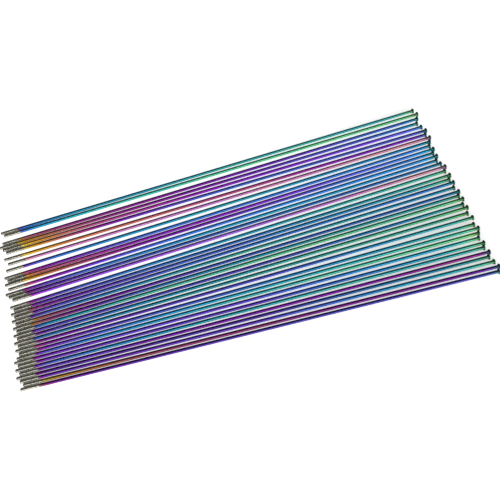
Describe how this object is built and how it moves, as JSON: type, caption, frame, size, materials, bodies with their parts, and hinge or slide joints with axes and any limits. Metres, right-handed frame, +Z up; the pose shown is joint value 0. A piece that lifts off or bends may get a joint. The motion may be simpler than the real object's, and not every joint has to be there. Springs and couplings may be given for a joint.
{
  "type": "bicycle spokes",
  "caption": "Set of straight-pull bicycle spokes with an oil-slick rainbow finish, lying side by side on a table, with bare threads at one end and button heads at the other.",
  "frame": {"origin": "centre of the set's footprint, on the table", "axes": "+X along the middle spoke from its thread to its head, +Y towards the first spoke of the row, +Z up"},
  "size_m": [0.2886, 0.13, 0.0036],
  "materials": {
    "film_magenta": "polished stainless steel wire with a thin magenta interference film, gold-pink at the threads; the rolled thread is bare steel",
    "film_violet": "polished stainless steel wire with a thin violet interference film, turning indigo towards the head; the rolled thread is bare steel",
    "film_indigo": "polished stainless steel wire with a thin indigo interference film, violet at the threads; the rolled thread is bare steel",
    "film_blue": "polished stainless steel wire with a thin blue interference film, turning teal towards the head; the rolled thread is bare steel",
    "film_teal": "polished stainless steel wire with a thin teal interference film, blue further back; the rolled thread is bare steel",
    "film_green": "polished stainless steel wire with a thin green-olive interference film, teal further back; the rolled thread is bare steel"
  },
  "bodies": {
    "spoke_01": {"spoke_01": "film_teal"},
    "spoke_02": {"spoke_02": "film_green"},
    "spoke_03": {"spoke_03": "film_violet"},
    "spoke_04": {"spoke_04": "film_violet"},
    "spoke_05": {"spoke_05": "film_violet"},
    "spoke_06": {"spoke_06": "film_blue"},
    "spoke_07": {"spoke_07": "film_magenta"},
    "spoke_08": {"spoke_08": "film_magenta"},
    "spoke_09": {"spoke_09": "film_teal"},
    "spoke_10": {"spoke_10": "film_blue"},
    "spoke_11": {"spoke_11": "film_violet"},
    "spoke_12": {"spoke_12": "film_indigo"},
    "spoke_13": {"spoke_13": "film_blue"},
    "spoke_14": {"spoke_14": "film_teal"},
    "spoke_15": {"spoke_15": "film_blue"},
    "spoke_16": {"spoke_16": "film_violet"},
    "spoke_17": {"spoke_17": "film_teal"},
    "spoke_18": {"spoke_18": "film_blue"},
    "spoke_19": {"spoke_19": "film_blue"},
    "spoke_20": {"spoke_20": "film_blue"},
    "spoke_21": {"spoke_21": "film_green"},
    "spoke_22": {"spoke_22": "film_blue"},
    "spoke_23": {"spoke_23": "film_teal"},
    "spoke_24": {"spoke_24": "film_green"},
    "spoke_25": {"spoke_25": "film_indigo"},
    "spoke_26": {"spoke_26": "film_teal"},
    "spoke_27": {"spoke_27": "film_teal"},
    "spoke_28": {"spoke_28": "film_indigo"},
    "spoke_29": {"spoke_29": "film_blue"},
    "spoke_30": {"spoke_30": "film_teal"},
    "spoke_31": {"spoke_31": "film_teal"},
    "spoke_32": {"spoke_32": "film_indigo"},
    "spoke_33": {"spoke_33": "film_indigo"},
    "spoke_34": {"spoke_34": "film_teal"},
    "spoke_35": {"spoke_35": "film_violet"},
    "spoke_36": {"spoke_36": "film_indigo"},
    "spoke_37": {"spoke_37": "film_indigo"},
    "spoke_38": {"spoke_38": "film_magenta"},
    "spoke_39": {"spoke_39": "film_indigo"}
  },
  "joints": [
    {"name": "lift_01", "type": "slide", "parent": "spoke_20", "child": "spoke_01", "axis": [0, 0, 1], "range_m": [0, 0.04]},
    {"name": "lift_02", "type": "slide", "parent": "spoke_20", "child": "spoke_02", "axis": [0, 0, 1], "range_m": [0, 0.04]},
    {"name": "lift_03", "type": "slide", "parent": "spoke_20", "child": "spoke_03", "axis": [0, 0, 1], "range_m": [0, 0.04]},
    {"name": "lift_04", "type": "slide", "parent": "spoke_20", "child": "spoke_04", "axis": [0, 0, 1], "range_m": [0, 0.04]},
    {"name": "lift_05", "type": "slide", "parent": "spoke_20", "child": "spoke_05", "axis": [0, 0, 1], "range_m": [0, 0.04]},
    {"name": "lift_06", "type": "slide", "parent": "spoke_20", "child": "spoke_06", "axis": [0, 0, 1], "range_m": [0, 0.04]},
    {"name": "lift_07", "type": "slide", "parent": "spoke_20", "child": "spoke_07", "axis": [0, 0, 1], "range_m": [0, 0.04]},
    {"name": "lift_08", "type": "slide", "parent": "spoke_20", "child": "spoke_08", "axis": [0, 0, 1], "range_m": [0, 0.04]},
    {"name": "lift_09", "type": "slide", "parent": "spoke_20", "child": "spoke_09", "axis": [0, 0, 1], "range_m": [0, 0.04]},
    {"name": "lift_10", "type": "slide", "parent": "spoke_20", "child": "spoke_10", "axis": [0, 0, 1], "range_m": [0, 0.04]},
    {"name": "lift_11", "type": "slide", "parent": "spoke_20", "child": "spoke_11", "axis": [0, 0, 1], "range_m": [0, 0.04]},
    {"name": "lift_12", "type": "slide", "parent": "spoke_20", "child": "spoke_12", "axis": [0, 0, 1], "range_m": [0, 0.04]},
    {"name": "lift_13", "type": "slide", "parent": "spoke_20", "child": "spoke_13", "axis": [0, 0, 1], "range_m": [0, 0.04]},
    {"name": "lift_14", "type": "slide", "parent": "spoke_20", "child": "spoke_14", "axis": [0, 0, 1], "range_m": [0, 0.04]},
    {"name": "lift_15", "type": "slide", "parent": "spoke_20", "child": "spoke_15", "axis": [0, 0, 1], "range_m": [0, 0.04]},
    {"name": "lift_16", "type": "slide", "parent": "spoke_20", "child": "spoke_16", "axis": [0, 0, 1], "range_m": [0, 0.04]},
    {"name": "lift_17", "type": "slide", "parent": "spoke_20", "child": "spoke_17", "axis": [0, 0, 1], "range_m": [0, 0.04]},
    {"name": "lift_18", "type": "slide", "parent": "spoke_20", "child": "spoke_18", "axis": [0, 0, 1], "range_m": [0, 0.04]},
    {"name": "lift_19", "type": "slide", "parent": "spoke_20", "child": "spoke_19", "axis": [0, 0, 1], "range_m": [0, 0.04]},
    {"name": "lift_21", "type": "slide", "parent": "spoke_20", "child": "spoke_21", "axis": [0, 0, 1], "range_m": [0, 0.04]},
    {"name": "lift_22", "type": "slide", "parent": "spoke_20", "child": "spoke_22", "axis": [0, 0, 1], "range_m": [0, 0.04]},
    {"name": "lift_23", "type": "slide", "parent": "spoke_20", "child": "spoke_23", "axis": [0, 0, 1], "range_m": [0, 0.04]},
    {"name": "lift_24", "type": "slide", "parent": "spoke_20", "child": "spoke_24", "axis": [0, 0, 1], "range_m": [0, 0.04]},
    {"name": "lift_25", "type": "slide", "parent": "spoke_20", "child": "spoke_25", "axis": [0, 0, 1], "range_m": [0, 0.04]},
    {"name": "lift_26", "type": "slide", "parent": "spoke_20", "child": "spoke_26", "axis": [0, 0, 1], "range_m": [0, 0.04]},
    {"name": "lift_27", "type": "slide", "parent": "spoke_20", "child": "spoke_27", "axis": [0, 0, 1], "range_m": [0, 0.04]},
    {"name": "lift_28", "type": "slide", "parent": "spoke_20", "child": "spoke_28", "axis": [0, 0, 1], "range_m": [0, 0.04]},
    {"name": "lift_29", "type": "slide", "parent": "spoke_20", "child": "spoke_29", "axis": [0, 0, 1], "range_m": [0, 0.04]},
    {"name": "lift_30", "type": "slide", "parent": "spoke_20", "child": "spoke_30", "axis": [0, 0, 1], "range_m": [0, 0.04]},
    {"name": "lift_31", "type": "slide", "parent": "spoke_20", "child": "spoke_31", "axis": [0, 0, 1], "range_m": [0, 0.04]},
    {"name": "lift_32", "type": "slide", "parent": "spoke_20", "child": "spoke_32", "axis": [0, 0, 1], "range_m": [0, 0.04]},
    {"name": "lift_33", "type": "slide", "parent": "spoke_20", "child": "spoke_33", "axis": [0, 0, 1], "range_m": [0, 0.04]},
    {"name": "lift_34", "type": "slide", "parent": "spoke_20", "child": "spoke_34", "axis": [0, 0, 1], "range_m": [0, 0.04]},
    {"name": "lift_35", "type": "slide", "parent": "spoke_20", "child": "spoke_35", "axis": [0, 0, 1], "range_m": [0, 0.04]},
    {"name": "lift_36", "type": "slide", "parent": "spoke_20", "child": "spoke_36", "axis": [0, 0, 1], "range_m": [0, 0.04]},
    {"name": "lift_37", "type": "slide", "parent": "spoke_20", "child": "spoke_37", "axis": [0, 0, 1], "range_m": [0, 0.04]},
    {"name": "lift_38", "type": "slide", "parent": "spoke_20", "child": "spoke_38", "axis": [0, 0, 1], "range_m": [0, 0.04]},
    {"name": "lift_39", "type": "slide", "parent": "spoke_20", "child": "spoke_39", "axis": [0, 0, 1], "range_m": [0, 0.04]}
  ]
}
